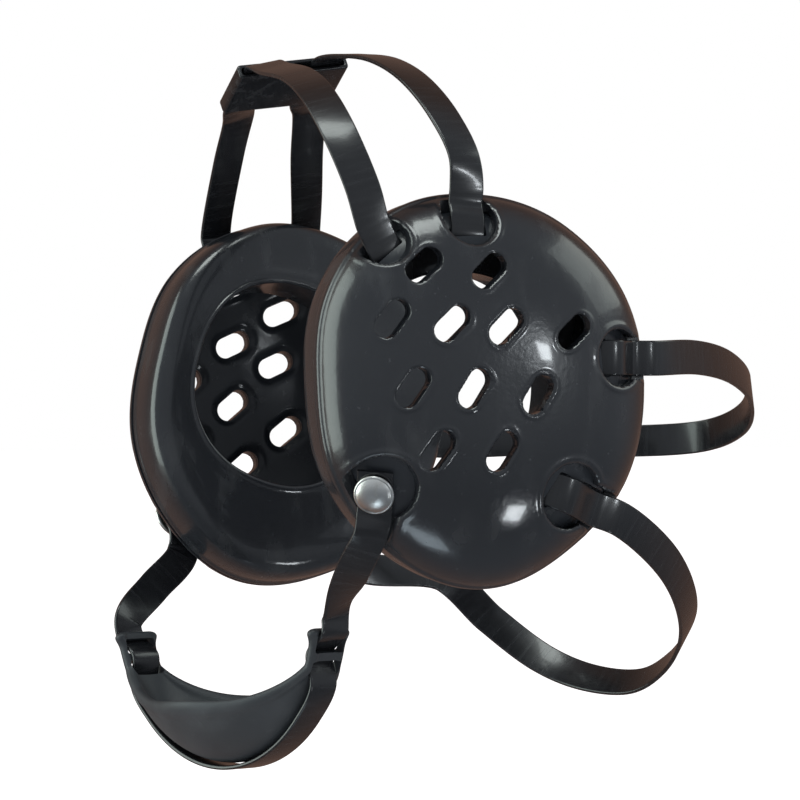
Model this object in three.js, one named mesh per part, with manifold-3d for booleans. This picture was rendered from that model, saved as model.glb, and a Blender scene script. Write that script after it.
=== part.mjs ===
// Wrestling ear guard: two padded ear cups held on the head by five flat plastic straps.
// Each cup is a hard shell with sound slots, under a coated foam cover and over a ring cushion that goes
// round the ear. Two straps cross the crown through a spacer, two cross the nape, and one carries a chin cup.
// Millimetres. +X points out of the wearer's left cup, -Y towards the face and +Z up.
// The origin is where the crown straps sit on top of the head: at their underside, between the two of them
// and midway between the cups.

import * as THREE from "three";
import { mergeVertices } from "three/addons/utils/BufferGeometryUtils.js";
import Module from "manifold-3d";

const wasm = await Module();
wasm.setup();

// Fits
const GAP = 0.3; // between touching pieces
const STRAP_PLAY = 0.5; // round a strap in a slot, tunnel or notch
const FLATNESS = 0.08; // facets closer than this to one plane are joined

// Straps
const STRAP_WIDTH = 10.2;
const STRAP_THICKNESS = 1.3;

// Cup outline, seen from outside: the rim is an ellipse of these sizes, shaped by the shares below
const CUP_WIDTH = 99;
const CUP_HEIGHT = 112.8;
const RIM_SHARES = [1, 1.004, 0.974, 0.98, 1.05, 1.063, 1.002, 1.008, 0.991, 1.002, 0.967, 1];
const CUP_SIDES = 26;

// Cup layers
const COVER_RISE = 23;
const COVER_WALL = 3.5;
const SHELL_WALL = 1.8;
const DOME_FALL = 2.5; // how long the dome stays flat before it falls
const RING_DEPTH = 17;
const EAR_WIDTH = 59;
const EAR_HEIGHT = 62.5;
const EAR_AT = [-7.5, 2.5];
const EAR_SQUARENESS = 2.25;

// Sound slots through cover and shell, at shares of the cup's half width and half height, each leaning some
// degrees up from the line to the back of the head
const SLOT_LENGTH = 12.2;
const SLOT_WIDTH = 6.4;
const SLOTS = [
  { back: -0.472, up: 0.624, lean: 42 },
  { back: -0.097, up: 0.596, lean: 42 },
  { back: -0.67, up: 0.353, lean: 54 },
  { back: -0.338, up: 0.329, lean: 44 },
  { back: -0.016, up: 0.316, lean: 44 },
  { back: 0.415, up: 0.293, lean: 40 },
  { back: -0.564, up: 0.01, lean: 57 },
  { back: -0.215, up: 0.006, lean: 58 },
  { back: 0.176, up: -0.024, lean: 57 },
  { back: -0.417, up: -0.303, lean: 56 },
  { back: -0.041, up: -0.309, lean: 58 },
];

// Strap pockets in the cover: angle from the back of the head, centre as a share of the rim radius there,
// and how far the strap turns off the radius
const POCKET_FLOOR = 4;
const POCKETS = {
  crownFront: { angle: 128, reach: 0.955, across: 14.5, turn: -12 },
  crownBack: { angle: 99, reach: 0.885, across: 16, turn: -14 },
  napeHigh: { angle: 14, reach: 0.76, across: 16.5, turn: -14 },
  napeLow: { angle: 305, reach: 0.71, across: 19, turn: 35 },
  chin: { angle: 219, reach: 0.86, across: 19, turn: 46 },
};

// Crown spacer, a flat sleeve with two tunnels. It has slid down to the right side, so it tilts with the
// crown
const SPACER_LENGTH = 20;
const SPACER_WIDTH = 35.5;
const SPACER_WALL = 1.2;
const SPACER_AT = [-21, 0.3, -3];
const SPACER_TILT = 28;
const SPACER_RISE = 8;

// Chin cup, a rubber bowl that hangs between two slotted tabs along a half ellipse
const CHIN_AT = [0, -23.6, -166.5];
const CHIN_TURN = 24; // its left end is further back
const CHIN_ROLL = 3;
const CHIN_HALF_SPAN = 43;
const CHIN_SAG = 38;
const CHIN_WALL = 2.4;
const CHIN_RIM = 3.4;
const CHIN_WIDTH = 44;
const CHIN_DISH = 18;
const TAB_WIDTH = STRAP_WIDTH + 2 * STRAP_PLAY + 4.4;
const TAB_BAR = 2.3;
const TAB_SLOT = 4.8;

// Snap that holds each end of the chin strap
const SNAP_ACROSS = 11.6;
const SNAP_RISE = 2.6;
const SNAP_POST = 3;
const SNAP_LEAN = 36; // out from the cup's face, down the slope
const SNAP_SEAT = 2.2; // strap's middle above the shell
const SNAP_REACH = 2; // flange below the shell, on the slope's low side

// Cup places on the head: middle of the rim plane, how far the top turns to the back, how far the foot stands
// off the head, and how far the back edge does
const LEFT_CUP = { side: 1, at: [62, 32.2, -95.6], turned: 0, foot: 0, heel: 0 };
const RIGHT_CUP = { side: -1, at: [-62, 14.2, -101.2], turned: 20, foot: -10.5, heel: 1 };

// Free stretch of each strap from the left cup to the right one
const CROWN_FRONT_LEFT = [
  [68, -6, -38.5],
  [60.5, -10.4, -22.5],
  [46, -12.2, -10.5],
  [28, -12, -4],
  [8, -12, -0.9],
];
const CROWN_FRONT_RIGHT = [
  [-42, -7.5, -13],
  [-56, -6, -24],
];
const CROWN_BACK_LEFT = [
  [68, 24.6, -29],
  [59.5, 21.6, -16.8],
  [44, 18.6, -5.8],
  [26, 16, 0.9],
  [8, 13.5, 3.6],
];
const CROWN_BACK_RIGHT = [
  [-41, 15, -10.5],
  [-56, 19.5, -22],
];
const NAPE_HIGH = [
  [54, 103, -86],
  [34, 123, -88.7],
  [10, 140.5, -95.4],
  [-14, 149, -104.3],
  [-36, 146, -109.8],
  [-54, 128, -111.6],
  [-63, 106, -111],
];
const NAPE_LOW = [
  [54, 93, -145],
  [37, 107, -157.5],
  [17, 116, -169],
  [0, 117, -179.3],
  [-14, 113, -185.5],
  [-30, 104, -185.3],
  [-44, 94, -180],
  [-56, 81, -168],
  [-63, 68, -155],
];
const CHIN_LEFT = [[60, -5.5, -146]];
const CHIN_RIGHT = [[-52, -31.5, -156]];

const rad = THREE.MathUtils.degToRad;
const vec = (x, y, z) => new THREE.Vector3(x, y, z);

// Between a solid of manifold-3d and a geometry of three.js
function solidOf(geometry) {
  const bare = geometry.index ? geometry.toNonIndexed() : geometry.clone();
  bare.deleteAttribute("normal");
  bare.deleteAttribute("uv");
  const merged = mergeVertices(bare, 1e-4);
  const triVerts = new Uint32Array(merged.index.array);
  const vertProperties = merged.attributes.position.array;
  return new wasm.Manifold(new wasm.Mesh({ numProp: 3, vertProperties, triVerts }));
}

function geometryOf(solid) {
  const mesh = solid.simplify(FLATNESS).getMesh();
  const geometry = new THREE.BufferGeometry();
  geometry.setAttribute("position", new THREE.BufferAttribute(mesh.vertProperties, 3));
  geometry.setIndex(new THREE.BufferAttribute(mesh.triVerts, 1));
  return geometry;
}

// A closed skin over rows of points. Each row is a loop, the rows close on themselves when looped is true,
// and otherwise the first and last rows are closed by a fan round their middle.
function skin(rows, looped) {
  const sides = rows[0].length;
  const points = rows.flat();
  const faces = [];
  const rowCount = looped ? rows.length : rows.length - 1;
  for (let r = 0; r < rowCount; r++) {
    const next = (r + 1) % rows.length;
    for (let s = 0; s < sides; s++) {
      const t = (s + 1) % sides;
      const [a, b, c, d] = [r * sides + s, r * sides + t, next * sides + t, next * sides + s];
      faces.push(a, b, c, a, c, d);
    }
  }
  if (!looped) {
    const cap = (row, flipped) => {
      const middle = points.length;
      points.push(rows[row].reduce((sum, p) => sum.add(p), vec(0, 0, 0)).divideScalar(sides));
      for (let s = 0; s < sides; s++) {
        const [a, b] = [row * sides + s, row * sides + ((s + 1) % sides)];
        faces.push(...(flipped ? [a, b, middle] : [b, a, middle]));
      }
    };
    cap(0, false);
    cap(rows.length - 1, true);
  }
  return facingOut(points, faces);
}

// Turns a closed skin's faces outwards, by the sign of its volume
function facingOut(points, faces) {
  let volume = 0;
  for (let i = 0; i < faces.length; i += 3) {
    const [a, b, c] = [points[faces[i]], points[faces[i + 1]], points[faces[i + 2]]];
    volume += a.dot(vec(0, 0, 0).crossVectors(b, c));
  }
  if (volume < 0) faces.reverse();
  const geometry = new THREE.BufferGeometry().setFromPoints(points);
  geometry.setIndex(faces);
  return geometry;
}

// Rim and ear outlines in a cup's own frame: x to the back of the head, y up and z outwards
function rimRadius(angle) {
  const step = (2 * Math.PI) / RIM_SHARES.length;
  const place = THREE.MathUtils.euclideanModulo(angle, 2 * Math.PI) / step;
  const k = Math.floor(place);
  const share = (i) => RIM_SHARES[(i + RIM_SHARES.length) % RIM_SHARES.length];
  const [a, b, c, d] = [share(k - 1), share(k), share(k + 1), share(k + 2)];
  const t = place - k;
  const blend = b + (t / 2) * (c - a + t * (2 * a - 5 * b + 4 * c - d + t * (3 * b - a - 3 * c + d)));
  return blend / Math.hypot(Math.cos(angle) / (CUP_WIDTH / 2), Math.sin(angle) / (CUP_HEIGHT / 2));
}

function earRadius(angle) {
  const across = Math.abs(Math.cos(angle) / (EAR_WIDTH / 2)) ** EAR_SQUARENESS;
  const upright = Math.abs(Math.sin(angle) / (EAR_HEIGHT / 2)) ** EAR_SQUARENESS;
  return (across + upright) ** (-1 / EAR_SQUARENESS);
}

const onCup = (angle, radius, out) => vec(radius * Math.cos(angle), radius * Math.sin(angle), out);
const cupAngles = Array.from({ length: CUP_SIDES }, (_, i) => (2 * Math.PI * i) / CUP_SIDES);

// A dome's height at a share of its radius
const domeShare = (share) => Math.sqrt(Math.max(0, 1 - share ** DOME_FALL));

// The wall between two domes that share the rim plane, each inset from the rim
const DOME_STEPS = [0.38, 0.66, 0.85, 0.96, 1];
function domeWall(outer, inner) {
  const ringAt = (dome, share) => {
    const radius = (angle) => share * (rimRadius(angle) - dome.inset);
    return cupAngles.map((angle) => onCup(angle, radius(angle), dome.rise * domeShare(share)));
  };
  return skin([
    ...DOME_STEPS.map((share) => ringAt(outer, share)),
    ...DOME_STEPS.toReversed().map((share) => ringAt(inner, share)),
  ]);
}

const COVER_OUT = { inset: 0, rise: COVER_RISE };
const COVER_IN = { inset: COVER_WALL, rise: COVER_RISE - COVER_WALL };
const SHELL_OUT = { inset: COVER_IN.inset + GAP, rise: COVER_IN.rise - GAP };
const SHELL_IN = { inset: SHELL_OUT.inset + SHELL_WALL, rise: SHELL_OUT.rise - SHELL_WALL };

// Sound slots and strap pockets as cutting solids in a cup's frame
function slotCutter({ back, up, lean }) {
  const shape = new THREE.Shape();
  const reach = (SLOT_LENGTH - SLOT_WIDTH) / 2;
  shape.absarc(reach, 0, SLOT_WIDTH / 2, -Math.PI / 2, Math.PI / 2);
  shape.absarc(-reach, 0, SLOT_WIDTH / 2, Math.PI / 2, (3 * Math.PI) / 2);
  const long = { depth: 2 * COVER_RISE, bevelEnabled: false, curveSegments: 3 };
  const bar = new THREE.ExtrudeGeometry(shape, long);
  bar.rotateZ(rad(lean));
  bar.translate((back * CUP_WIDTH) / 2, (up * CUP_HEIGHT) / 2, 0);
  return solidOf(bar);
}

function pocketCutter({ angle, reach, across, turn }) {
  const middle = onCup(rad(angle), reach * rimRadius(rad(angle)), 0);
  const round = new THREE.CylinderGeometry(across / 2, across / 2, 2 * COVER_RISE, 16);
  round.rotateX(Math.PI / 2);
  const slitWidth = STRAP_WIDTH + 4 * STRAP_PLAY;
  const slit = new THREE.BoxGeometry(2 * across, slitWidth, 2 * COVER_RISE);
  slit.translate(across, 0, 0);
  slit.rotateZ(rad(angle + turn));
  const cutter = solidOf(round).add(solidOf(slit));
  return cutter.translate([middle.x, middle.y, COVER_RISE + POCKET_FLOOR]);
}

// From a cup's frame to the guard's
function cupFrame({ side, at, turned, foot, heel }) {
  const axes = new THREE.Matrix4().makeBasis(vec(0, 1, 0), vec(0, 0, 1), vec(side, 0, 0));
  const turns = [
    new THREE.Matrix4().makeRotationZ(-rad(turned)),
    new THREE.Matrix4().makeRotationX(-rad(foot)),
    new THREE.Matrix4().makeRotationY(-rad(heel)),
  ];
  return turns.reduce((frame, turn) => frame.multiply(turn), axes.setPosition(...at));
}

// A strap along control points with a facing direction at each, as wide and thick as asked
function ribbon(stops, steps, width, thickness) {
  const path = new THREE.CatmullRomCurve3(stops.map((stop) => stop.at), false, "centripetal");
  const facing = new THREE.CatmullRomCurve3(stops.map((stop) => stop.face), false, "centripetal");
  const rows = [];
  for (let i = 0; i <= steps; i++) {
    const t = i / steps;
    const at = path.getPoint(t);
    const ahead = path.getTangent(t);
    const face = facing.getPoint(t).addScaledVector(ahead, -facing.getPoint(t).dot(ahead)).normalize();
    const across = vec(0, 0, 0).crossVectors(ahead, face);
    const corner = (w, h) =>
      at.clone().addScaledVector(across, (w * width) / 2).addScaledVector(face, (h * thickness) / 2);
    rows.push([corner(-1, -1), corner(1, -1), corner(1, 1), corner(-1, 1)]);
  }
  return skin(rows, false);
}

// Where a strap starts in a cup and leaves through its pocket. Four of them come out of the hollow through
// the shell, and the chin strap rides on the shell.
const wayOut = ({ angle, turn }) => vec(Math.cos(rad(angle + turn)), Math.sin(rad(angle + turn)), 0);
const pocketMiddle = ({ angle, reach }) => onCup(rad(angle), reach * rimRadius(rad(angle)), 0);
function shellHeight(place) {
  const angle = Math.atan2(place.y, place.x);
  return SHELL_OUT.rise * domeShare(Math.hypot(place.x, place.y) / (rimRadius(angle) - SHELL_OUT.inset));
}

function cupStops(cup, pocket, riding) {
  const frame = cupFrame(cup);
  const way = wayOut(pocket);
  const stop = (along, lift, lowest) => {
    const place = pocketMiddle(pocket).addScaledVector(way, along);
    return { at: place.setZ(Math.max(shellHeight(place) + lift, lowest)), face: vec(0, 0, 1) };
  };
  const toRim = ((1 - pocket.reach) * rimRadius(rad(pocket.angle))) / Math.cos(rad(pocket.turn));
  const over = POCKET_FLOOR + 2 * STRAP_THICKNESS;
  const inside = [stop(-0.5 * pocket.across, -4.5, 0), stop(-0.34 * pocket.across, -1, 0)];
  const past = [stop(0, 2.4, over), stop(0.6 * toRim, 2.4, over)];
  const start = riding ? chinStart(cup) : [...inside, ...past];
  return [...start, stop(toRim + 2, 0, over)].map(({ at, face }) => ({
    at: at.applyMatrix4(frame),
    face: face.transformDirection(frame),
  }));
}

// The chin strap's end lies on the slope of the shell under its snap. A turned cup's chin pocket is as much
// further round as lets the strap still hang from it.
const chinPocket = ({ turned }) => ({ ...POCKETS.chin, angle: POCKETS.chin.angle + 1.2 * turned });
function chinSeat(cup) {
  const pocket = chinPocket(cup);
  const at = pocketMiddle(pocket);
  const slope = vec(Math.cos(rad(pocket.angle)), Math.sin(rad(pocket.angle)), 0);
  const face = slope.multiplyScalar(Math.tan(rad(SNAP_LEAN))).setZ(1).normalize();
  const along = wayOut(pocket);
  along.addScaledVector(face, -along.dot(face)).normalize();
  at.z = shellHeight(at);
  return { at: at.addScaledVector(face, SNAP_SEAT), face, along };
}

function chinStart(cup) {
  const { at, face, along } = chinSeat(cup);
  return [-6.5, 0, 6.5].map((step) => ({ at: at.clone().addScaledVector(along, step), face: face.clone() }));
}

const HEAD_MIDDLE = vec(0, 15, -95);
const freeStops = (route) =>
  route.map(([x, y, z]) => ({ at: vec(x, y, z), face: vec(x, y, z).sub(HEAD_MIDDLE).normalize() }));

// A cup's ring cushion, as loops that go round its section from the ear opening to the rim and back
const RING_SECTION = [
  { out: 0.04, deep: 0 },
  { out: 0.985, deep: 0 },
  { out: 1, deep: 0.14 },
  { out: 1, deep: 0.5 },
  { out: 0.97, deep: 0.74 },
  { out: 0.9, deep: 0.91 },
  { out: 0.76, deep: 0.99 },
  { out: 0.5, deep: 1 },
  { out: 0.05, deep: 0.99 },
  { out: 0, deep: 0.93 },
  { out: 0, deep: 0.2 },
];
function ringSkin() {
  const ear = vec(...EAR_AT, 0);
  const place = ({ out, deep }, angle) =>
    onCup(angle, earRadius(angle), 0).add(ear).lerp(onCup(angle, rimRadius(angle), 0), out)
      .setZ(-GAP - deep * RING_DEPTH);
  return skin(RING_SECTION.map((row) => cupAngles.map((angle) => place(row, angle))), true);
}

// Crown spacer and where the straps run through it
const tunnelWidth = (SPACER_WIDTH - 3 * SPACER_WALL) / 2;
const tunnelHeight = STRAP_THICKNESS + 2 * STRAP_PLAY;
const spacerFrame = new THREE.Matrix4()
  .makeTranslation(...SPACER_AT)
  .multiply(new THREE.Matrix4().makeRotationY(-rad(SPACER_TILT)))
  .multiply(new THREE.Matrix4().makeRotationX(rad(SPACER_RISE)));
const tunnelPlace = (side) => (side * (tunnelWidth + SPACER_WALL)) / 2;
const strapPlace = (side) => side * (SPACER_WIDTH / 2 - SPACER_WALL - STRAP_PLAY - STRAP_WIDTH / 2);

function spacerSolid() {
  const height = tunnelHeight + 2 * SPACER_WALL;
  let solid = solidOf(new THREE.BoxGeometry(SPACER_LENGTH, SPACER_WIDTH, height));
  for (const side of [-1, 1]) {
    const tunnel = new THREE.BoxGeometry(2 * SPACER_LENGTH, tunnelWidth, tunnelHeight);
    tunnel.translate(0, tunnelPlace(side), 0);
    solid = solid.subtract(solidOf(tunnel));
  }
  return solid.transform(spacerFrame.elements);
}

function tunnelStops(side) {
  const up = new THREE.Vector3().setFromMatrixColumn(spacerFrame, 2);
  return [0.6, 0.3, -0.3, -0.6].map((share) => ({
    at: vec(share * SPACER_LENGTH, strapPlace(side), 0).applyMatrix4(spacerFrame),
    face: up.clone(),
  }));
}

// Chin cup: a half ellipse from the right tab to the left one, with a dished section across it
const CHIN_END = rad(80);
const chinArc = new THREE.EllipseCurve(
  0,
  (CHIN_SAG * Math.cos(CHIN_END)) / (1 - Math.cos(CHIN_END)),
  CHIN_HALF_SPAN / Math.sin(CHIN_END),
  CHIN_SAG / (1 - Math.cos(CHIN_END)),
  -Math.PI / 2 - CHIN_END,
  -Math.PI / 2 + CHIN_END,
);
const chinFrame = new THREE.Matrix4()
  .makeTranslation(...CHIN_AT)
  .multiply(new THREE.Matrix4().makeRotationZ(rad(CHIN_TURN)))
  .multiply(new THREE.Matrix4().makeRotationY(-rad(CHIN_ROLL)));
const tabLength = 2 * TAB_BAR + 2 * TAB_SLOT;
const tabShare = tabLength / chinArc.getLength();

// A place on the half ellipse, moved inwards to the chin and across to the back of the head
function chinPoint(share, inward, across) {
  const at = chinArc.getPointAt(THREE.MathUtils.clamp(share, 0, 1));
  const way = chinArc.getTangentAt(THREE.MathUtils.clamp(share, 0, 1));
  const beyond = (share - THREE.MathUtils.clamp(share, 0, 1)) * chinArc.getLength();
  at.addScaledVector(way, beyond);
  return vec(at.x - way.y * inward, across, at.y + way.x * inward);
}

function chinSkin() {
  const steps = 18;
  const spans = [-1, -0.93, -0.7, -0.35, 0, 0.35, 0.7, 0.93, 1];
  const rows = [];
  for (let i = 0; i <= steps; i++) {
    const share = i / steps;
    const pastTab = Math.max(0, Math.min(share, 1 - share) - 0.8 * tabShare) / (1 - 1.6 * tabShare);
    const fill = Math.sin(Math.PI * pastTab);
    const width = THREE.MathUtils.lerp(TAB_WIDTH, CHIN_WIDTH, fill) - CHIN_RIM;
    const dish = CHIN_DISH * fill;
    const wall = (span, side) => {
      const thick = Math.abs(span) > 0.9 ? CHIN_RIM : CHIN_WALL;
      const [run, climb] = [width / 2, 2 * dish * span];
      const half = (side * thick) / 2 / Math.hypot(run, climb);
      return chinPoint(share, dish * span ** 2 + half * run, (width / 2) * span - half * climb);
    };
    rows.push([...spans.map((span) => wall(span, -1)), ...spans.toReversed().map((span) => wall(span, 1))]);
  }
  return skin(rows, false);
}

function chinSolid() {
  let solid = solidOf(chinSkin());
  for (const end of [0, 1]) {
    for (const slot of [0, 1]) {
      const along = TAB_BAR + TAB_SLOT / 2 + slot * (TAB_BAR + TAB_SLOT);
      const share = Math.abs(end - along / chinArc.getLength());
      const way = chinArc.getTangentAt(share);
      const opening = new THREE.BoxGeometry(TAB_SLOT, STRAP_WIDTH + 2 * STRAP_PLAY, 4 * CHIN_RIM);
      opening.rotateY(-Math.atan2(way.y, way.x));
      const at = chinPoint(share, 0, 0);
      opening.translate(at.x, at.y, at.z);
      solid = solid.subtract(solidOf(opening));
    }
  }
  return solid.transform(chinFrame.elements);
}

// The strap's weave: outside the end bar, inside the second one, then outside along the whole bowl
const CHIN_WEAVE = [
  { along: -4, side: -1 },
  { along: TAB_BAR / 2, side: -1 },
  { along: 1.5 * TAB_BAR + TAB_SLOT, side: 1 },
];
const CHIN_STOPS = 9;
function chinStops() {
  const clear = (CHIN_WALL + STRAP_THICKNESS) / 2 + 2 * GAP;
  const stop = (share, side) => {
    const at = chinPoint(share, side * clear, 0);
    return { at: at.applyMatrix4(chinFrame), face: chinFace(share) };
  };
  const bowlStart = (tabLength + 2.5) / chinArc.getLength();
  const bowlShare = (i) => THREE.MathUtils.lerp(1 - bowlStart, bowlStart, i / (CHIN_STOPS - 1));
  const bowl = Array.from({ length: CHIN_STOPS }, (_, i) => stop(bowlShare(i), -1));
  const right = CHIN_WEAVE.map(({ along, side }) => stop(along / chinArc.getLength(), side));
  const left = CHIN_WEAVE.map(({ along, side }) => stop(1 - along / chinArc.getLength(), side));
  return [...left, ...bowl, ...right.toReversed()];
}
function chinFace(share) {
  return chinPoint(share, -1, 0).sub(chinPoint(share, 0, 0)).transformDirection(chinFrame);
}

// Straps as stops from the left cup to the right one
const { crownFront, crownBack, napeHigh, napeLow } = POCKETS;
const strapStops = {
  crown_strap_front: [
    ...cupStops(LEFT_CUP, crownFront, false),
    ...freeStops(CROWN_FRONT_LEFT),
    ...tunnelStops(-1),
    ...freeStops(CROWN_FRONT_RIGHT),
    ...cupStops(RIGHT_CUP, crownFront, false).toReversed(),
  ],
  crown_strap_rear: [
    ...cupStops(LEFT_CUP, crownBack, false),
    ...freeStops(CROWN_BACK_LEFT),
    ...tunnelStops(1),
    ...freeStops(CROWN_BACK_RIGHT),
    ...cupStops(RIGHT_CUP, crownBack, false).toReversed(),
  ],
  nape_strap_upper: [
    ...cupStops(LEFT_CUP, napeHigh, false),
    ...freeStops(NAPE_HIGH),
    ...cupStops(RIGHT_CUP, napeHigh, false).toReversed(),
  ],
  nape_strap_lower: [
    ...cupStops(LEFT_CUP, napeLow, false),
    ...freeStops(NAPE_LOW),
    ...cupStops(RIGHT_CUP, napeLow, false).toReversed(),
  ],
  chin_strap: [
    ...cupStops(LEFT_CUP, chinPocket(LEFT_CUP), true),
    ...freeStops(CHIN_LEFT),
    ...chinStops(),
    ...freeStops(CHIN_RIGHT),
    ...cupStops(RIGHT_CUP, chinPocket(RIGHT_CUP), true).toReversed(),
  ],
};

// Snap, turned about its post: a domed cap outside, a post through strap and shell, and a flange inside
function snapFrame(cup) {
  const { at, face, along } = chinSeat(cup);
  const seat = new THREE.Matrix4().makeBasis(along, vec(0, 0, 0).crossVectors(face, along), face);
  return cupFrame(cup).multiply(seat.setPosition(at));
}
function snapSolid(cup) {
  const base = STRAP_THICKNESS / 2 + 2 * GAP;
  const cap = SNAP_ACROSS / 2;
  const post = SNAP_POST / 2;
  const below = -SNAP_SEAT - SHELL_WALL - SNAP_REACH;
  const profile = [
    [0, below - 1],
    [0.55 * cap, below - 1],
    [0.55 * cap, below],
    [post, below],
    [post, base],
    [cap - 0.2, base],
    [cap, base + 0.5],
    [0.9 * cap, base + 0.55 * SNAP_RISE],
    [0.62 * cap, base + 0.85 * SNAP_RISE],
    [0.3 * cap, base + 0.97 * SNAP_RISE],
    [0, base + SNAP_RISE],
  ].map(([x, y]) => new THREE.Vector2(x, y));
  const turned = new THREE.LatheGeometry(profile, 14).rotateX(Math.PI / 2);
  return solidOf(turned).transform(snapFrame(cup).elements);
}
function snapHole(cup) {
  const hole = new THREE.CylinderGeometry(SNAP_POST / 2 + GAP, SNAP_POST / 2 + GAP, 40, 12);
  return solidOf(hole.rotateX(Math.PI / 2)).transform(snapFrame(cup).elements);
}

// Cutting everything to its neighbours
const snapHoles = snapHole(LEFT_CUP).add(snapHole(RIGHT_CUP));
const strapSolids = {};
let strapRoom;
for (const [name, stops] of Object.entries(strapStops)) {
  const steps = name === "chin_strap" ? 76 : 42;
  strapSolids[name] = solidOf(ribbon(stops, steps, STRAP_WIDTH, STRAP_THICKNESS)).subtract(snapHoles);
  const roomWidth = STRAP_WIDTH + 2 * STRAP_PLAY;
  const room = solidOf(ribbon(stops, steps, roomWidth, STRAP_THICKNESS + 2 * GAP));
  strapRoom = strapRoom ? strapRoom.add(room) : room;
}
const soundSlots = SLOTS.map(slotCutter).reduce((all, cutter) => all.add(cutter));
const pockets = (cup) =>
  [crownFront, crownBack, napeHigh, napeLow, chinPocket(cup)].map(pocketCutter)
    .reduce((all, cutter) => all.add(cutter));

// Colours and finish of each material
const materials = {
  vinyl: new THREE.MeshStandardMaterial({ color: 0x17181a, roughness: 0.25, metalness: 0 }),
  shell: new THREE.MeshStandardMaterial({ color: 0x1a1b1d, roughness: 0.3, metalness: 0 }),
  strap: new THREE.MeshStandardMaterial({ color: 0x202226, roughness: 0.3, metalness: 0 }),
  rubber: new THREE.MeshStandardMaterial({ color: 0x3f454b, roughness: 0.65, metalness: 0 }),
  nickel: new THREE.MeshStandardMaterial({ color: 0x9a9894, roughness: 0.35, metalness: 1 }),
};

const guard = new THREE.Group();
guard.name = "wrestling_ear_guard";
const add = (name, solid, material) => {
  const mesh = new THREE.Mesh(geometryOf(solid), materials[material]);
  mesh.name = name;
  guard.add(mesh);
};
for (const [side, cup] of Object.entries({ left: LEFT_CUP, right: RIGHT_CUP })) {
  const frame = cupFrame(cup).elements;
  const cover = solidOf(domeWall(COVER_OUT, COVER_IN)).subtract(soundSlots).subtract(pockets(cup));
  const shell = solidOf(domeWall(SHELL_OUT, SHELL_IN)).subtract(soundSlots);
  add(`${side}_cover`, cover.transform(frame).subtract(strapRoom).subtract(snapHoles), "vinyl");
  add(`${side}_shell`, shell.transform(frame).subtract(strapRoom).subtract(snapHoles), "shell");
  add(`${side}_ring`, solidOf(ringSkin()).transform(frame), "vinyl");
  add(`${side}_snap`, snapSolid(cup), "nickel");
}
for (const [name, solid] of Object.entries(strapSolids)) add(name, solid, "strap");
add("crown_spacer", spacerSolid(), "strap");
add("chin_cup", chinSolid().subtract(strapRoom), "rubber");

export default guard;
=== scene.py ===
import bpy
import numpy as np
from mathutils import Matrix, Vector


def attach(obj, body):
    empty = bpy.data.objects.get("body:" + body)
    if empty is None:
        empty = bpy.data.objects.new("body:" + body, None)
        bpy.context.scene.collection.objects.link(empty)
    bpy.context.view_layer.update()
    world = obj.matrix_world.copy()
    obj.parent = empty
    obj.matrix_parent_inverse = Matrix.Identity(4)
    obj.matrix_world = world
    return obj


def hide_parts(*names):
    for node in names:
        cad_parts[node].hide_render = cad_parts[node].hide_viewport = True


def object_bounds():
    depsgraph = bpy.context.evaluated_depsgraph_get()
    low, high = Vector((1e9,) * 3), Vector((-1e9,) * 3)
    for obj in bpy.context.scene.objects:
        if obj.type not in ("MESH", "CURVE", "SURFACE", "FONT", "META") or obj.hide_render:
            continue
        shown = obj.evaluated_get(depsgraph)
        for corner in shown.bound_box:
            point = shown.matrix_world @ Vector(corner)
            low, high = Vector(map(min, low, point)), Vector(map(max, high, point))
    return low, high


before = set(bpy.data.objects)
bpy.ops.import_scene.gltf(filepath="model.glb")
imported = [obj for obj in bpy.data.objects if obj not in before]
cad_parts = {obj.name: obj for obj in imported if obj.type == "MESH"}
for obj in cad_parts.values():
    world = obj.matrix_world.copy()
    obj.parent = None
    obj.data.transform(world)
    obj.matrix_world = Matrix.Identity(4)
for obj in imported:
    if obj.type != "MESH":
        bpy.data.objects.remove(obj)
cad_low, cad_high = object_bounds()

# Camera
# The guard is seen as it is worn, level with the cups, from the wearer's left and a little to the front,
# through a long lens that stands about 1.3 m away.
MM = 0.001
LOOK_AT = np.array([0.0, 30.0, -98.5])
CAMERA_AZIMUTH = np.radians(70)
CAMERA_DISTANCE = 1300.0
PICTURE_SIDE = 800
FOCAL_PIXELS = 4333
SENSOR = 36.0

camera_data = bpy.data.cameras.new("camera")
camera_data.sensor_width = SENSOR
camera_data.lens = SENSOR * FOCAL_PIXELS / PICTURE_SIDE
camera = bpy.data.objects.new("camera", camera_data)
camera_way = np.array([np.sin(CAMERA_AZIMUTH), -np.cos(CAMERA_AZIMUTH), 0])
camera.location = MM * (LOOK_AT + CAMERA_DISTANCE * camera_way)
camera.rotation_euler = Vector(-camera_way).to_track_quat("-Z", "Y").to_euler()
bpy.context.scene.collection.objects.link(camera)
bpy.context.scene.camera = camera

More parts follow.
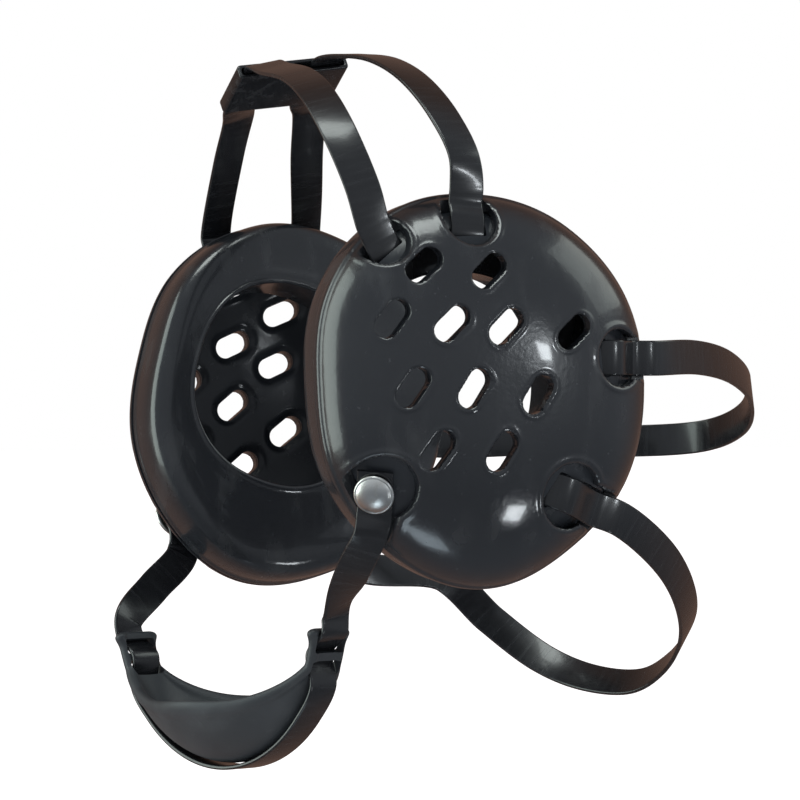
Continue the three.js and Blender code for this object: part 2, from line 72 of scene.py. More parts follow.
# Cup covers
# Each cup has a domed cover of soft foam, dipped in glossy black vinyl. It is moulded in one piece, with
# eleven sound slots whose edges stand a little proud, and five open pockets that the straps come out of.
CUP_WIDTH = 99
CUP_HEIGHT = 112.8
RIM_SHARES = np.array([1, 1.004, 0.974, 0.98, 1.05, 1.063, 1.002, 1.008, 0.991, 1.002, 0.967, 1])
DOME_POWER = 2.5
COVER_OUT = {"inset": 0, "rise": 23}
COVER_IN = {"inset": 3.5, "rise": 19.5}
CUP_PLACES = {
    "left": {"side": 1, "at": [62, 32.2, -95.6], "turned": 0, "foot": 0, "heel": 0},
    "right": {"side": -1, "at": [-62, 14.2, -101.2], "turned": 20, "foot": -10.5, "heel": 1},
}
SLOT_LENGTH = 12.2
SLOT_WIDTH = 6.4
SLOTS = [
    {"back": -0.472, "up": 0.624, "lean": 42},
    {"back": -0.097, "up": 0.596, "lean": 42},
    {"back": -0.67, "up": 0.353, "lean": 54},
    {"back": -0.338, "up": 0.329, "lean": 44},
    {"back": -0.016, "up": 0.316, "lean": 44},
    {"back": 0.415, "up": 0.293, "lean": 40},
    {"back": -0.564, "up": 0.01, "lean": 57},
    {"back": -0.215, "up": 0.006, "lean": 58},
    {"back": 0.176, "up": -0.024, "lean": 57},
    {"back": -0.417, "up": -0.303, "lean": 56},
    {"back": -0.041, "up": -0.309, "lean": 58},
]
SLOT_STRAIGHT = (SLOT_LENGTH - SLOT_WIDTH) / 2
SLOT_LIP = {"proud": 0.2, "spread": 0.45, "radius": 0.55}
POCKET_FLOOR = 4
SLIT_WIDTH = 12.2
POCKETS = {
    "crown_front": {"angle": 128, "reach": 0.955, "across": 14.5, "turn": -12},
    "crown_back": {"angle": 99, "reach": 0.885, "across": 16, "turn": -14},
    "nape_high": {"angle": 14, "reach": 0.76, "across": 16.5, "turn": -14},
    "nape_low": {"angle": 305, "reach": 0.71, "across": 19, "turn": 35},
    "chin": {"angle": 219, "reach": 0.86, "across": 19, "turn": 46},
}
POCKET_LIP = {"proud": 0.3, "spread": 0.7, "radius": 0.8}
POCKET_LIP_FADE = 6
RIM_BEAD = {"proud": 0.7, "top": 2.4, "fade": 0.25}
CUT_FROM, CUT_TO = 1, 30
DOME_TOP = 0.02
VINYL_BLACK = (0.013, 0.0145, 0.0175)
VINYL_DUST = (0.045, 0.048, 0.053)


def rim_radius(angle):
    """Radius of the cup's rim: an ellipse times shares 30 degrees apart, joined by a Catmull-Rom curve."""
    place = np.mod(angle, 2 * np.pi) * len(RIM_SHARES) / (2 * np.pi)
    k = np.floor(place).astype(int)
    t = place - k
    a, b, c, d = (RIM_SHARES[(k + i) % len(RIM_SHARES)] for i in (-1, 0, 1, 2))
    share = b + t / 2 * (c - a + t * (2 * a - 5 * b + 4 * c - d + t * (3 * b - a - 3 * c + d)))
    return share / np.hypot(np.cos(angle) / (CUP_WIDTH / 2), np.sin(angle) / (CUP_HEIGHT / 2))


def full_turn(count):
    """Angles all the way round, equally far apart."""
    return np.linspace(0, 2 * np.pi, count, endpoint=False)


def ways(angles):
    """Directions in the rim plane at angles: cosine and sine."""
    return np.stack([np.cos(angles), np.sin(angles)], axis=-1)


def turned(angle, axis):
    """Matrix of a turn about x, y or z."""
    c, s = np.cos(np.radians(angle)), np.sin(np.radians(angle))
    return {
        "x": np.array([[1, 0, 0], [0, c, -s], [0, s, c]]),
        "y": np.array([[c, 0, s], [0, 1, 0], [-s, 0, c]]),
        "z": np.array([[c, -s, 0], [s, c, 0], [0, 0, 1]]),
    }[axis]


def cup_turn(cup):
    """Matrix whose columns are a cup's own axes: x to the back of the head, y up and z outwards."""
    upright = np.array([[0, 0, cup["side"]], [1, 0, 0], [0, 1, 0]])
    return upright @ turned(-cup["turned"], "z") @ turned(-cup["foot"], "x") @ turned(-cup["heel"], "y")


def to_head(points, cup):
    """From a cup's own frame to the guard's, in mm."""
    return points @ cup_turn(cup).T + cup["at"]


def cup_pockets(cup):
    """The five pockets. On a turned cup the chin pocket is further round, so that its strap still hangs."""
    chin = dict(POCKETS["chin"], angle=POCKETS["chin"]["angle"] + 1.2 * cup["turned"])
    return dict(POCKETS, chin=chin)


def pocket_middle(pocket):
    """Middle of a pocket in the rim plane: its share of the rim's radius at its angle."""
    angle = np.radians(pocket["angle"])
    return pocket["reach"] * rim_radius(angle) * np.array([np.cos(angle), np.sin(angle), 0])


def way_out(pocket):
    """Direction in the rim plane in which a strap leaves its pocket."""
    angle = np.radians(pocket["angle"] + pocket["turn"])
    return np.array([np.cos(angle), np.sin(angle), 0])


def slot_place(slot):
    """Middle of a slot in the rim plane, and the direction in which it leans."""
    lean = np.radians(slot["lean"])
    middle = np.array([slot["back"] * CUP_WIDTH, slot["up"] * CUP_HEIGHT]) / 2
    return middle, ways(lean)


def along_aside(x, y, middle, way):
    """How far places in the rim plane lie from a middle, along a direction and to its left."""
    along = (x - middle[0]) * way[0] + (y - middle[1]) * way[1]
    aside = (y - middle[1]) * way[0] - (x - middle[0]) * way[1]
    return along, aside


def slot_distance(x, y):
    """Distance in the rim plane to the nearest slot's edge: to its middle line, less half its width."""
    nearest = np.full(np.shape(x), np.inf)
    for slot in SLOTS:
        along, aside = along_aside(x, y, *slot_place(slot))
        past = np.maximum(np.abs(along) - SLOT_STRAIGHT, 0)
        nearest = np.minimum(nearest, np.hypot(past, aside) - SLOT_WIDTH / 2)
    return nearest


def pocket_distance(x, y, cup):
    """Distance in the rim plane to the nearest pocket's edge: a round well joined to a slit to the rim."""
    nearest = np.full(np.shape(x), np.inf)
    for pocket in cup_pockets(cup).values():
        middle = pocket_middle(pocket)
        well = np.hypot(x - middle[0], y - middle[1]) - pocket["across"] / 2
        along, aside = along_aside(x, y, middle, way_out(pocket))
        aside = np.abs(aside) - SLIT_WIDTH / 2
        slit = np.hypot(np.maximum(-along, 0), np.maximum(aside, 0))
        slit = slit + np.minimum(np.maximum(-along, aside), 0)
        nearest = np.minimum(nearest, np.minimum(well, slit))
    return nearest


def moulded_edge(distance, proud, spread, radius):
    """Height of a moulded edge: a bell-shaped lip round it, and a quarter round that falls into it."""
    lip = proud * np.exp(-(((distance - 1.5 * radius) / spread) ** 2))
    fall = np.clip(1 - distance / radius, 0, 1)
    return lip - radius * (1 - np.sqrt(1 - fall**2))


def closed_mesh(name, rows, looped=False):
    """A closed skin over rows of loops, in mm: joined end to end, or with a fan at each end. The sign of the
    volume turns its faces outwards."""
    count, sides = rows.shape[:2]
    index = np.arange(count * sides).reshape(count, sides)
    near = np.vstack([index, index[:1]]) if looped else index
    far = np.roll(near, -1, axis=1)
    quads = np.stack([near[:-1], far[:-1], far[1:], near[1:]], axis=-1).reshape(-1, 4)
    points = rows.reshape(-1, 3)
    fans = np.zeros((0, 3), int)
    if not looped:
        points = np.vstack([points, rows[0].mean(axis=0), rows[-1].mean(axis=0)])
        start = np.stack([far[0], near[0], np.full(sides, len(points) - 2)], axis=-1)
        end = np.stack([near[-1], far[-1], np.full(sides, len(points) - 1)], axis=-1)
        fans = np.vstack([start, end])
    triangles = np.vstack([quads[:, :3], quads[:, [0, 2, 3]], fans])
    a, b, c = (points[triangles[:, i]] for i in range(3))
    if np.einsum("ij,ij->", a, np.cross(b, c)) < 0:
        quads, fans = quads[:, ::-1], fans[:, ::-1]
    mesh = bpy.data.meshes.new(name)
    mesh.from_pydata((MM * points).tolist(), [], quads.tolist() + fans.tolist())
    return mesh


def placed(name, mesh):
    """An object at the origin that holds the mesh."""
    piece = bpy.data.objects.new(name, mesh)
    bpy.context.scene.collection.objects.link(piece)
    return piece


def skinned(name, rows, looped=False):
    """An object at the origin whose mesh is a closed skin over rows of loops."""
    return placed(name, closed_mesh(name, rows, looped))


def cut(piece, cutters):
    """Takes each cutter's solid away from a piece, and throws the cutters away."""
    for mesh in cutters:
        cutter = placed("cutter", mesh)
        boolean = piece.modifiers.new("cut", "BOOLEAN")
        boolean.operation = "DIFFERENCE"
        boolean.solver = "MANIFOLD"
        boolean.object = cutter
        bpy.context.view_layer.update()
        worked = piece.evaluated_get(bpy.context.evaluated_depsgraph_get())
        result = bpy.data.meshes.new_from_object(worked)
        result.materials.clear()
        piece.modifiers.clear()
        piece.data = result
        bpy.data.objects.remove(cutter)


def smoothed(piece, sharpest):
    """Smooth shading, but for edges that turn by more than the given angle."""
    piece.data.shade_smooth()
    piece.data.set_sharp_from_angle(angle=np.radians(sharpest))


def joined(name, meshes):
    """One mesh of several that don't touch."""
    points = [np.array([v.co for v in mesh.vertices]) for mesh in meshes]
    starts = np.cumsum([0] + [len(p) for p in points])
    faces = [
        [start + corner for corner in face.vertices]
        for mesh, start in zip(meshes, starts)
        for face in mesh.polygons
    ]
    whole = bpy.data.meshes.new(name)
    whole.from_pydata(np.vstack(points).tolist(), [], faces)
    return whole


def prism(outline, low, high, cup):
    """A closed prism over an outline in a cup's rim plane, between two heights."""
    rows = np.array([np.column_stack([outline, np.full(len(outline), z)]) for z in (low, high)])
    return closed_mesh("prism", to_head(rows, cup))


def slot_prisms(cup):
    """The slots as prisms: two half circles joined by straight sides."""
    turn = np.linspace(-np.pi / 2, np.pi / 2, 16)
    side = ways(turn) * SLOT_WIDTH / 2 + [SLOT_STRAIGHT, 0]
    outline = np.vstack([side, -side])
    prisms = []
    for slot in SLOTS:
        middle, way = slot_place(slot)
        leaning = middle + outline @ np.array([way, [-way[1], way[0]]])
        prisms.append(prism(leaning, CUT_FROM, CUT_TO, cup))
    return joined("slots", prisms)


def pocket_prisms(cup):
    """The pockets as round wells and as slits that run out past the rim, both above the pocket floor."""
    wells, slits = [], []
    circle = ways(full_turn(64))
    for pocket in cup_pockets(cup).values():
        middle, way = pocket_middle(pocket)[:2], way_out(pocket)[:2]
        aside = np.array([-way[1], way[0]]) * SLIT_WIDTH / 2
        past = middle + 2 * pocket["across"] * way
        wells.append(prism(middle + circle * pocket["across"] / 2, POCKET_FLOOR, CUT_TO, cup))
        corners = np.array([middle - aside, past - aside, past + aside, middle + aside])
        slits.append(prism(corners, POCKET_FLOOR, CUT_TO, cup))
    return [joined("wells", wells), joined("slits", slits)]


def dome_rows(dome, angles, slopes):
    """Rows of a dome at slopes from 0, its top, to a quarter turn, its rim. The share of the radius is the
    sine to the power 0.8 and the height is the cosine, so that share**2.5 + height**2 = 1."""
    share = np.sin(slopes)[:, None] ** (2 / DOME_POWER)
    radius = share * (rim_radius(angles) - dome["inset"])
    height = np.broadcast_to(dome["rise"] * np.cos(slopes)[:, None], radius.shape)
    return np.stack([radius * np.cos(angles), radius * np.sin(angles), height], axis=-1)


def cover_rows(cup):
    """The cover's outer dome with its lips and rounded edges, then its inner dome back to the top. The lips
    of the pockets fade out low on the dome, and the bead along the rim is a smooth step outwards."""
    angles = full_turn(480)
    outer = dome_rows(COVER_OUT, angles, np.linspace(DOME_TOP, np.pi / 2, 120))
    x, y, z = outer[..., 0], outer[..., 1], outer[..., 2]
    high = np.clip(z / POCKET_LIP_FADE, 0, 1)
    lift = moulded_edge(slot_distance(x, y), **SLOT_LIP)
    lift = lift + moulded_edge(pocket_distance(x, y, cup), **POCKET_LIP) * high
    bead = RIM_BEAD["proud"] / (1 + np.exp((z - RIM_BEAD["top"]) / RIM_BEAD["fade"]))
    beaded = outer[..., :2] + bead[..., None] * ways(angles)
    outer = np.concatenate([beaded, (z + lift)[..., None]], axis=-1)
    inner = dome_rows(COVER_IN, angles, np.linspace(np.pi / 2, DOME_TOP, 18))
    return np.concatenate([outer, inner])


class Shade:
    """A value in a material. Operators on it add Math nodes, and make() adds any other node."""

    def __init__(self, tree, socket=None):
        self.tree, self.socket = tree, socket

    def make(self, kind, settings=None, sockets=None, out=0):
        node = self.tree.nodes.new(kind)
        for key, value in (settings or {}).items():
            setattr(node, key, value)
        for key, value in (sockets or {}).items():
            if isinstance(value, Shade):
                self.tree.links.new(value.socket, node.inputs[key])
            else:
                node.inputs[key].default_value = value
        return Shade(self.tree, node.outputs[out])

    def math(self, operation, *values):
        return self.make("ShaderNodeMath", {"operation": operation}, dict(enumerate(values)))

    def __add__(self, other):
        return self.math("ADD", self, other)

    def __mul__(self, other):
        return self.math("MULTIPLY", self, other)

    def __rsub__(self, other):
        return self.math("SUBTRACT", other, self)

    __radd__ = __add__
    __rmul__ = __mul__

    def noise(self, size, detail=2.0, stretch=(1, 1, 1)):
        """Noise from 0 to 1, with features of a size in mm, longer along an axis by 1 / stretch."""
        place = self.make("ShaderNodeMapping", {}, {"Vector": self, "Scale": stretch})
        sockets = {"Vector": place, "Scale": 1 / (size * MM), "Detail": detail}
        return self.make("ShaderNodeTexNoise", {}, sockets)

    def between(self, low, high):
        """0 below low, 1 above high and a smooth ramp between."""
        ramp = {"interpolation_type": "SMOOTHSTEP"}
        return self.make("ShaderNodeMapRange", ramp, {"Value": self, "From Min": low, "From Max": high})

    def mix(self, first, last):
        """A colour from the first to the last as this goes from 0 to 1. Each is three numbers or a Shade."""
        ends = [end if isinstance(end, Shade) else (*end, 1) for end in (first, last)]
        colours = {0: self, 6: ends[0], 7: ends[1]}
        return self.make("ShaderNodeMix", {"data_type": "RGBA"}, colours, out=2)

    def bump(self, height, onto=None):
        """A surface normal from this height, which is as many mm high as given."""
        sockets = {"Height": self, "Distance": height * MM, "Strength": 1.0}
        if onto is not None:
            sockets["Normal"] = onto
        return self.make("ShaderNodeBump", {}, sockets)


def material(name, constants, paint):
    """A material. Its constants go straight on the shader's sockets, and its paint function takes a starting
    Shade and returns what varies."""
    made = bpy.data.materials.new(name)
    made.use_nodes = True
    tree = made.node_tree
    shader = tree.nodes["Principled BSDF"]
    for key, value in constants.items():
        shader.inputs[key].default_value = value
    for key, value in paint(Shade(tree)).items():
        tree.links.new(value.socket, shader.inputs[key])
    return made


def vinyl_paint(start):
    """Black vinyl: orange peel and slow ripples in its height, cloudy gloss, and dust in small specks."""
    place = start.make("ShaderNodeTexCoord", out=3)
    cloud = place.noise(26, 3)
    smear = place.noise(9, 4, (1, 1, 0.35))
    specks = place.noise(1.3, 1).between(0.72, 0.8)
    ripples = place.noise(12, 1).bump(0.16)
    peel = place.noise(1.8, 3).bump(0.05, ripples)
    return {
        "Base Color": (specks * 0.5 + smear.between(0.5, 0.8) * 0.3).mix(VINYL_BLACK, VINYL_DUST),
        "Roughness": 0.17 + 0.1 * cloud + 0.16 * smear.between(0.52, 0.75),
        "Normal": peel,
    }


vinyl = material("vinyl", {"IOR": 1.5, "Coat Weight": 0.35, "Coat Roughness": 0.06}, vinyl_paint)

for side, cup in CUP_PLACES.items():
    cover = skinned(f"{side}_cover_skin", to_head(cover_rows(cup), cup))
    cut(cover, [slot_prisms(cup), *pocket_prisms(cup)])
    smoothed(cover, 50)
    cover.data.materials.append(vinyl)
    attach(cover, "root")
    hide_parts(f"{side}_cover")

# Ring cushions
# Round each ear, under the rim of its cup, lies a thick ring of the same foam in the same vinyl. Its face
# to the head is gently crowned, and its opening is an upright rounded oblong with a crisp edge.
RING_DEPTH = 17
GAP = 0.3
EAR = {"width": 59, "height": 62.5, "at": [-7.5, 2.5], "squareness": 2.25}
RING_SECTION = np.array([
    [0.04, 0], [0.985, 0], [1, 0.14], [1, 0.46], [0.975, 0.68], [0.91, 0.84], [0.78, 0.93], [0.55, 0.98],
    [0.3, 0.99], [0.12, 0.985], [0.06, 1.01], [0.02, 1], [0, 0.95], [0, 0.8], [0, 0.2],
])
SECTION_LIMIT = 1.02


def rounded_loop(table, fineness):
    """A closed Catmull-Rom curve through the rows of a table."""
    t = np.linspace(0, 1, fineness, endpoint=False)[:, None]
    a, b, c, d = (np.roll(table, 1 - i, axis=0)[:, None, :] for i in range(4))
    curve = b + t / 2 * (c - a + t * (2 * a - 5 * b + 4 * c - d + t * (3 * b - a - 3 * c + d)))
    return curve.reshape(-1, table.shape[1])


def ear_radius(angle):
    """Radius of the ear opening: a superellipse."""
    across = np.abs(np.cos(angle) / (EAR["width"] / 2)) ** EAR["squareness"]
    upright = np.abs(np.sin(angle) / (EAR["height"] / 2)) ** EAR["squareness"]
    return (across + upright) ** (-1 / EAR["squareness"])


def ring_rows():
    """Loops round the cushion's section. Its table gives shares of the way from the ear opening to the rim
    and of the depth."""
    angles = full_turn(320)
    opening = ways(angles) * ear_radius(angles)[:, None] + EAR["at"]
    rim = ways(angles) * rim_radius(angles)[:, None]
    out, deep = np.clip(rounded_loop(RING_SECTION, 6), 0, SECTION_LIMIT).T
    across = opening + out[:, None, None] * (rim - opening)
    height = np.broadcast_to((-GAP - deep * RING_DEPTH)[:, None, None], (*across.shape[:2], 1))
    return np.concatenate([across, height], axis=-1)


for side, cup in CUP_PLACES.items():
    ring = skinned(f"{side}_ring_cushion", to_head(ring_rows(), cup), looped=True)
    smoothed(ring, 60)
    ring.data.materials.append(vinyl)
    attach(ring, "root")
    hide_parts(f"{side}_ring")

# Straps
# Five flat straps of glossy flexible plastic, 10 mm wide with rounded edges, are cut to length and fixed
# inside the cups. Handling has left them full of fine crosswise scuffs.
STRAP_WIDTH = 10.2
STRAP_THICKNESS = 1.3
STRAP_EDGE = 0.5
STRAP_PLAY = 0.5
CROWN_FRONT_LEFT = [[68, -6, -38.5], [60.5, -10.4, -22.5], [46, -12.2, -10.5], [28, -12, -4], [8, -12, -0.9]]
CROWN_FRONT_RIGHT = [[-42, -7.5, -13], [-56, -6, -24]]
CROWN_BACK_LEFT = [[68, 24.6, -29], [59.5, 21.6, -16.8], [44, 18.6, -5.8], [26, 16, 0.9], [8, 13.5, 3.6]]
CROWN_BACK_RIGHT = [[-41, 15, -10.5], [-56, 19.5, -22]]
NAPE_HIGH = [
    [54, 103, -86], [34, 123, -88.7], [10, 140.5, -95.4], [-14, 149, -104.3], [-36, 146, -109.8],
    [-54, 128, -111.6], [-63, 106, -111],
]
NAPE_LOW = [
    [54, 93, -145], [37, 107, -157.5], [17, 116, -169], [0, 117, -179.3], [-14, 113, -185.5],
    [-30, 104, -185.3], [-44, 94, -180], [-56, 81, -168], [-63, 68, -155],
]
# Stops in a pocket: shares of its width from its middle, and heights over the shell
INSIDE_STOPS = [(-0.5, -4.5), (-0.34, -1)]
LIFT = 2.4
PAST_RIM = 2
PAST_SNAP = 6.5
CHIN_LEFT = [[60, -5.5, -146]]
CHIN_RIGHT = [[-52, -31.5, -156]]
HEAD_MIDDLE = np.array([0, 15, -95])
SHELL_OUT = {"inset": 3.8, "rise": 19.2}
SHELL_IN = {"inset": 5.6, "rise": 17.4}
SNAP_LEAN = np.radians(36)
SNAP_SEAT = 2.2
SPACER = {"length": 20, "width": 35.5, "wall": 1.2, "at": [-21, 0.3, -3], "tilt": 28, "rise": 8}
CHIN = {
    "at": [0, -23.6, -166.5], "turn": 24, "roll": 3, "half_span": 43, "sag": 38, "wall": 2.4, "rim": 3.4,
    "width": 44, "dish": 18, "bar": 2.3, "slot": 4.8, "end": np.radians(80),
}
TAB_WIDTH = STRAP_WIDTH + 2 * STRAP_PLAY + 4.4
TAB_LENGTH = 2 * CHIN["bar"] + 2 * CHIN["slot"]
ARC_STEPS = 2001
STRAP_BLACK = (0.0075, 0.008, 0.0095)
STRAP_SCUFF = (0.05, 0.055, 0.062)


def unit(rows):
    """Rows of vectors, each made one long."""
    return rows / np.linalg.norm(rows, axis=-1, keepdims=True)


def through(points, t):
    """A centripetal Catmull-Rom curve through points, at t from 0 to 1, an equal share for each stretch."""
    ends = [2 * points[0] - points[1], *points, 2 * points[-1] - points[-2]]
    whole = np.array(ends, float)
    place = np.clip(t, 0, 1) * (len(points) - 1)
    k = np.minimum(place.astype(int), len(points) - 2)
    w = (place - k)[:, None]
    a, b, c, d = (whole[k + i] for i in range(4))
    pairs = ((a, b), (b, c), (c, d))
    before, span, after = (np.sqrt(np.linalg.norm(q - p, axis=1, keepdims=True)) for p, q in pairs)
    tiny = 1e-4
    span = np.where(span < tiny, 1, span)
    before = np.where(before < tiny, span, before)
    after = np.where(after < tiny, span, after)
    start = ((b - a) / before - (c - a) / (before + span) + (c - b) / span) * span
    end = ((c - b) / span - (d - b) / (span + after) + (d - c) / after) * span
    cubic = (2 * b - 2 * c + start + end) * w**3 + (3 * c - 3 * b - 2 * start - end) * w**2
    return cubic + start * w + b


def strap_rows(stops, steps, section):
    """A section, across and facing out, carried along a strap's stops: places and facing directions."""
    places, faces = np.array([s[0] for s in stops]), np.array([s[1] for s in stops])
    t = np.linspace(0, 1, steps)
    near = 1e-4
    ahead = unit(through(places, np.minimum(t + near, 1)) - through(places, np.maximum(t - near, 0)))
    face = through(faces, t)
    face = unit(face - ahead * np.sum(face * ahead, axis=1, keepdims=True))
    across = np.cross(ahead, face)
    return (
        through(places, t)[:, None]
        + section[None, :, 0, None] * across[:, None]
        + section[None, :, 1, None] * face[:, None]
    )


def rounded_box(width, height, radius, fineness):
    """Outline of a rectangle with its corners rounded, about its middle."""
    quarter = np.linspace(0, np.pi / 2, fineness)
    corner = radius * ways(quarter) + [width / 2 - radius, height / 2 - radius]
    flip = np.array([[-1, 1], [1, -1]])
    return np.vstack([corner, corner[::-1] * flip[0], -corner, corner[::-1] * flip[1]])


def shell_height(place):
    """Height of the shell's outer face over a place in the rim plane."""
    share = np.hypot(place[0], place[1]) / (rim_radius(np.arctan2(place[1], place[0])) - SHELL_OUT["inset"])
    return SHELL_OUT["rise"] * np.sqrt(max(0, 1 - share**DOME_POWER))


def chin_seat(cup):
    """Where the chin strap's end lies under its snap: a place over the shell, its facing and its way on."""
    pocket = cup_pockets(cup)["chin"]
    at = pocket_middle(pocket)
    face = unit(np.array([*(unit(at)[:2] * np.tan(SNAP_LEAN)), 1]))
    along = way_out(pocket)
    along = unit(along - face * np.dot(along, face))
    at[2] = shell_height(at)
    return at + SNAP_SEAT * face, face, along


def cup_stops(cup, name):
    """A strap's stops in a cup, in the guard's frame: out of the hollow or along the shell, then over the
    rim."""
    pocket = cup_pockets(cup)[name]
    over = POCKET_FLOOR + 2 * STRAP_THICKNESS
    straight = (1 - pocket["reach"]) * rim_radius(np.radians(pocket["angle"]))
    to_rim = straight / np.cos(np.radians(pocket["turn"]))

    def stop(along, lift, lowest):
        place = pocket_middle(pocket) + along * way_out(pocket)
        place[2] = max(shell_height(place) + lift, lowest)
        return place, np.array([0, 0, 1])

    if name == "chin":
        at, face, along = chin_seat(cup)
        stops = [(at + step * along, face) for step in (-PAST_SNAP, 0, PAST_SNAP)]
    else:
        stops = [stop(share * pocket["across"], lift, 0) for share, lift in INSIDE_STOPS]
        stops += [stop(share * to_rim, LIFT, over) for share in (0, 0.6)]
    stops.append(stop(to_rim + PAST_RIM, 0, over))
    return [(to_head(at, cup), cup_turn(cup) @ face) for at, face in stops]


def free_stops(route):
    """Stops of a free stretch, each facing away from the middle of the head."""
    return [(np.array(at), unit(np.array(at) - HEAD_MIDDLE)) for at in route]


def spacer_turn():
    """Matrix whose columns are the spacer's own axes: x along the straps, y across them and z up."""
    return turned(-SPACER["tilt"], "y") @ turned(SPACER["rise"], "x")


def tunnel_stops(side):
    """Stops of a strap at the outer side of its tunnel in the spacer."""
    aside = side * (SPACER["width"] / 2 - SPACER["wall"] - STRAP_PLAY - STRAP_WIDTH / 2)
    turn = spacer_turn()
    places = [turn @ [share * SPACER["length"], aside, 0] + SPACER["at"] for share in (0.6, 0.3, -0.3, -0.6)]
    return [(place, turn[:, 2]) for place in places]


def chin_arc(share):
    """The chin cup's middle line: places and directions on a half ellipse, at shares of its length, with
    straight ends beyond it."""
    end = CHIN["end"]
    span, sag = CHIN["half_span"] / np.sin(end), CHIN["sag"] / (1 - np.cos(end))

    def ellipse(angle):
        return np.stack([span * np.cos(angle), sag * np.cos(end) + sag * np.sin(angle)], axis=-1)

    angle = np.linspace(-np.pi / 2 - end, -np.pi / 2 + end, ARC_STEPS)
    run = np.concatenate([[0], np.cumsum(np.hypot(*np.diff(ellipse(angle), axis=0).T))])
    inside = np.clip(share, 0, 1)
    turn = np.interp(inside * run[-1], run, angle)
    way = unit(np.stack([-span * np.sin(turn), sag * np.cos(turn)], axis=-1))
    return ellipse(turn) + way * ((share - inside) * run[-1])[..., None], way


CHIN_LENGTH = np.linalg.norm(np.diff(chin_arc(np.linspace(0, 1, ARC_STEPS))[0], axis=0), axis=1).sum()


def chin_turn():
    """Matrix whose columns are the chin cup's own axes."""
    return turned(CHIN["turn"], "z") @ turned(-CHIN["roll"], "y")


def chin_place(share, inward, across):
    """A place by the chin cup's middle line, moved in to the chin and across to the back, in the guard's
    frame."""
    place, way = chin_arc(np.asarray(share, float))
    along, up = place[..., 0] - way[..., 1] * inward, place[..., 1] + way[..., 0] * inward
    return np.stack([along, across, up], axis=-1) @ chin_turn().T + CHIN["at"]


def chin_stops():
    """The chin strap's weave: outside the end bar of each tab, inside the second bar and outside the bowl.
    Each row is a distance from the end of the cup, and 1 for the side of the chin or -1 for outside."""
    clear = (CHIN["wall"] + STRAP_THICKNESS) / 2 + 2 * GAP
    weave = [(-4, -1), (CHIN["bar"] / 2, -1), (1.5 * CHIN["bar"] + CHIN["slot"], 1)]
    past_tab = 2.5
    bowl = (TAB_LENGTH + past_tab) / CHIN_LENGTH
    rows = [(1 - along / CHIN_LENGTH, side) for along, side in weave]
    rows += [(share, -1) for share in np.linspace(1 - bowl, bowl, 9)]
    rows += [(along / CHIN_LENGTH, side) for along, side in reversed(weave)]
    return [
        (chin_place(share, side * clear, 0), unit(chin_place(share, -1, 0) - chin_place(share, 0, 0)))
        for share, side in rows
    ]


left, right = CUP_PLACES["left"], CUP_PLACES["right"]
STRAP_STOPS = {
    "crown_strap_front": [
        *cup_stops(left, "crown_front"), *free_stops(CROWN_FRONT_LEFT), *tunnel_stops(-1),
        *free_stops(CROWN_FRONT_RIGHT), *reversed(cup_stops(right, "crown_front")),
    ],
    "crown_strap_rear": [
        *cup_stops(left, "crown_back"), *free_stops(CROWN_BACK_LEFT), *tunnel_stops(1),
        *free_stops(CROWN_BACK_RIGHT), *reversed(cup_stops(right, "crown_back")),
    ],
    "nape_strap_upper": [
        *cup_stops(left, "nape_high"), *free_stops(NAPE_HIGH), *reversed(cup_stops(right, "nape_high")),
    ],
    "nape_strap_lower": [
        *cup_stops(left, "nape_low"), *free_stops(NAPE_LOW), *reversed(cup_stops(right, "nape_low")),
    ],
    "chin_strap": [
        *cup_stops(left, "chin"), *free_stops(CHIN_LEFT), *chin_stops(), *free_stops(CHIN_RIGHT),
        *reversed(cup_stops(right, "chin")),
    ],
}


def strap_paint(start):
    """Black plastic: scuffs and a fine grain that run across the strap, and cloudy gloss along it. The lay
    attribute gives the place across and along the strap."""
    lay = start.make("ShaderNodeAttribute", {"attribute_name": "lay"}, out=1)
    scuffs = lay.noise(1.6, 4, (0.12, 1, 1)).between(0.42, 0.75)
    cloud = lay.noise(30, 2, (0.3, 1, 1))
    grain = lay.noise(0.5, 2, (0.1, 1, 1))
    waves = lay.noise(9, 1, (0.5, 1, 1)).bump(0.05)
    return {
        "Base Color": (scuffs * cloud * 0.2).mix(STRAP_BLACK, STRAP_SCUFF),
        "Roughness": 0.16 + 0.14 * cloud + 0.06 * scuffs,
        "Normal": grain.bump(0.008, waves),
    }


strap_plastic = material("strap", {"IOR": 1.52, "Coat Weight": 0.2, "Coat Roughness": 0.08}, strap_paint)

STRAP_SECTION = rounded_box(STRAP_WIDTH, STRAP_THICKNESS, STRAP_EDGE, 5)
for name, stops in STRAP_STOPS.items():
    rows = strap_rows(stops, 620, STRAP_SECTION)
    strap = skinned(f"{name}_band", rows)
    smoothed(strap, 40)
    along = np.concatenate([[0], np.cumsum(np.linalg.norm(np.diff(rows.mean(axis=1), axis=0), axis=1))])
    # The last two vertices are the middles of the strap's ends
    lay = np.zeros((len(strap.data.vertices), 3))
    lay[:-2, 0] = MM * np.tile(STRAP_SECTION[:, 0], len(rows))
    lay[:-2, 1] = MM * np.repeat(along, len(STRAP_SECTION))
    lay[-1, 1] = MM * along[-1]
    strap.data.attributes.new("lay", "FLOAT_VECTOR", "POINT").data.foreach_set("vector", lay.ravel())
    strap.data.materials.append(strap_plastic)
    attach(strap, "root")
    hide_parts(name)

# Cup shells
# Under each cover is a hard moulded shell of the same dome, which keeps blows off the ear. Its slots match
# the cover's and are dished on the ear's side. Narrow slots in it let the straps out of the hollow.
SHELL_DISH = {"deep": 0.9, "wide": 1.4}
SHELL_BLACK = (0.02, 0.023, 0.028)
SHELL_RUB = (0.036, 0.04, 0.046)


